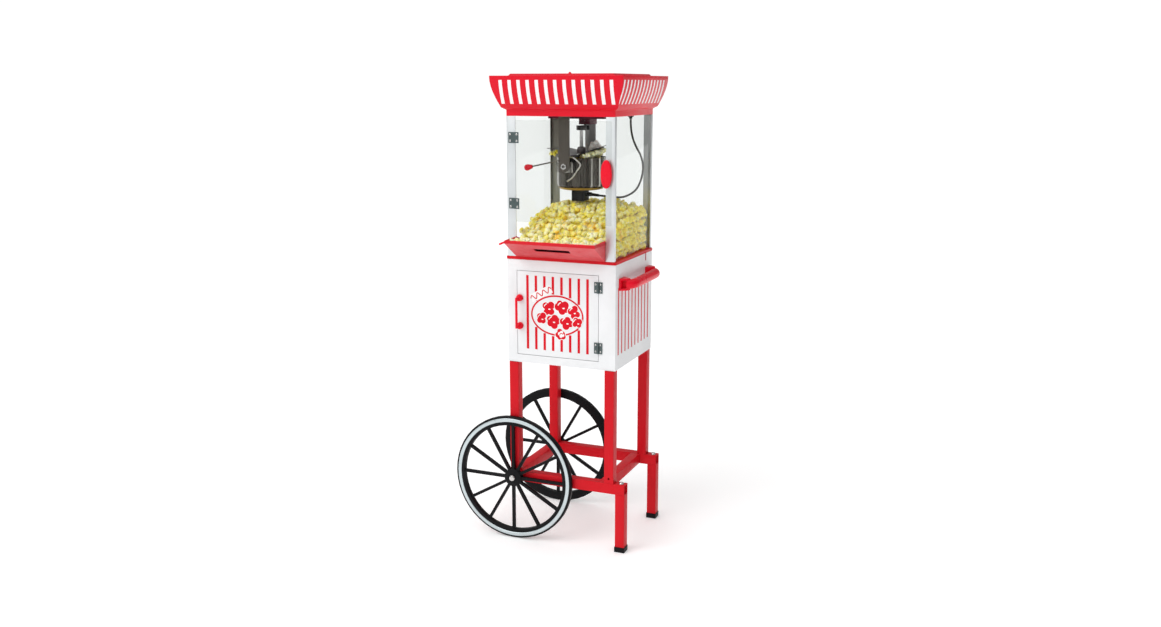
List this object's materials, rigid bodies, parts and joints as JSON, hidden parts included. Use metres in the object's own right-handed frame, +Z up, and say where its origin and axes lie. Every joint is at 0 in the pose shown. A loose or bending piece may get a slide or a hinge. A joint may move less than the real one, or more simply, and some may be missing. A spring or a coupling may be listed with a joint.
{
  "type": "popcorn cart",
  "caption": "Popcorn cart with a glazed kettle case under a flared striped roof, a storage cabinet below it, and a tube stand on spoked wheels and feet.",
  "frame": {"origin": "centre of the bounding box at floor level", "axes": "+Z up; both doors face -Y; the wheels are towards -X and the push handle is on +X"},
  "size_m": [0.4902, 0.381, 1.212],
  "materials": {
    "red_paint": "semi-gloss red paint on steel tube and sheet",
    "red_plastic": "glossy red moulding",
    "maroon_paint": "dark maroon paint",
    "white_paint": "smooth white paint on sheet steel",
    "black_plastic": "black moulding with a soft sheen",
    "aluminium": "plain extruded angle",
    "dark_steel": "dark bronze-grey steel",
    "hinge_steel": "dark grey-green plated steel",
    "kettle_steel": "polished stainless steel",
    "bright_steel": "bright plated steel",
    "brass": "satin brass-coloured plate",
    "glass": "clear 3 mm pane",
    "cord_black": "dark round cord sheath",
    "popcorn": "buttered popcorn, used only by pieces of the visual model"
  },
  "bodies": {
    "cart": {"leg_front_left": "red_paint", "leg_front_right": "red_paint", "leg_back_left": "red_paint", "leg_back_right": "red_paint", "beam_front": "red_paint", "beam_back": "red_paint", "crossbar_left": "red_paint", "crossbar_right": "red_paint", "foot_front": "red_paint", "foot_cap_front": "black_plastic", "foot_bolt_front": "bright_steel", "foot_back": "red_paint", "foot_cap_back": "black_plastic", "foot_bolt_back": "bright_steel", "axle": "bright_steel", "cabinet_shell": "white_paint", "cabinet_hinge_lower_frame": "hinge_steel", "cabinet_hinge_upper_frame": "hinge_steel", "push_handle": "red_plastic", "base_plate": "red_paint", "post_front_left": "aluminium", "post_front_right": "aluminium", "post_back_left": "aluminium", "post_back_right": "aluminium", "pane_left": "glass", "pane_right": "glass", "pane_back": "glass", "glass_hinge_lower_post": "hinge_steel", "glass_hinge_upper_post": "hinge_steel", "canopy": "red_plastic", "ceiling_plate": "white_paint", "motor_housing": "maroon_paint", "stirrer_motor": "bright_steel", "strap_front": "dark_steel", "strap_back": "dark_steel", "cord_gland": "black_plastic", "kettle_cord": "cord_black"},
    "wheel_front": {"wheel_front": "black_plastic"},
    "wheel_back": {"wheel_back": "black_plastic"},
    "cabinet_door": {"cabinet_door": "white_paint", "cabinet_door_handle": "red_plastic", "cabinet_hinge_lower_door": "hinge_steel", "cabinet_hinge_upper_door": "hinge_steel"},
    "glass_door": {"glass_door": "glass", "glass_door_knob": "red_plastic", "glass_hinge_lower_door": "hinge_steel", "glass_hinge_upper_door": "hinge_steel"},
    "serving_tray": {"serving_tray": "red_paint"},
    "kettle": {"kettle_pot": "kettle_steel", "kettle_base": "brass", "heater_box": "black_plastic", "kettle_connector": "black_plastic", "tilt_handle": "bright_steel", "tilt_knob": "red_plastic", "pivot_nut_front": "bright_steel", "pivot_nut_back": "bright_steel"},
    "lid_left": {"kettle_lid_left": "kettle_steel"},
    "lid_right": {"kettle_lid_right": "kettle_steel"},
    "stirrer": {"stirrer": "bright_steel"},
    "drive_roller": {"drive_roller": "black_plastic"}
  },
  "joints": [
    {"name": "wheel_front_spin", "type": "hinge", "parent": "cart", "child": "wheel_front", "pos_m": [-0.07759, -0.1275, 0.1675], "axis": [0, 1, 0], "continuous": true},
    {"name": "wheel_back_spin", "type": "hinge", "parent": "cart", "child": "wheel_back", "pos_m": [-0.07759, 0.1675, 0.1675], "axis": [0, 1, 0], "continuous": true},
    {"name": "cabinet_door_swing", "type": "hinge", "parent": "cart", "child": "cabinet_door", "pos_m": [0.15791, -0.121, 0.614], "axis": [0, 0, 1], "range_deg": [0, 110]},
    {"name": "glass_door_swing", "type": "hinge", "parent": "cart", "child": "glass_door", "pos_m": [-0.06719, -0.1226, 0.974], "axis": [0, 0, -1], "range_deg": [0, 120]},
    {"name": "serving_tray_slide", "type": "slide", "parent": "cart", "child": "serving_tray", "axis": [0, -1, 0], "range_m": [0, 0.1]},
    {"name": "kettle_tilt", "type": "hinge", "parent": "cart", "child": "kettle", "pos_m": [0.04491, 0.02, 0.984], "axis": [0, -1, 0], "range_deg": [0, 75], "deforming": ["kettle_cord"]},
    {"name": "lid_left_hinge", "type": "hinge", "parent": "kettle", "child": "lid_left", "pos_m": [0.04841, 0.02, 1.0086], "axis": [0, 1, 0], "range_deg": [-21, 20]},
    {"name": "lid_right_hinge", "type": "hinge", "parent": "kettle", "child": "lid_right", "pos_m": [0.06241, 0.02, 1.0086], "axis": [0, -1, 0], "range_deg": [-23, 18]},
    {"name": "stirrer_spin", "type": "hinge", "parent": "kettle", "child": "stirrer", "pos_m": [0.05541, 0.02, 1], "axis": [0, 0, 1], "continuous": true},
    {"name": "drive_roller_spin", "type": "hinge", "parent": "cart", "child": "drive_roller", "pos_m": [0.05541, 0.0449, 1.077], "axis": [0, 0, 1], "continuous": true}
  ],
  "couplings": [
    {"joint": "drive_roller_spin", "follows": "stirrer_spin", "ratio": -1.1304}
  ]
}
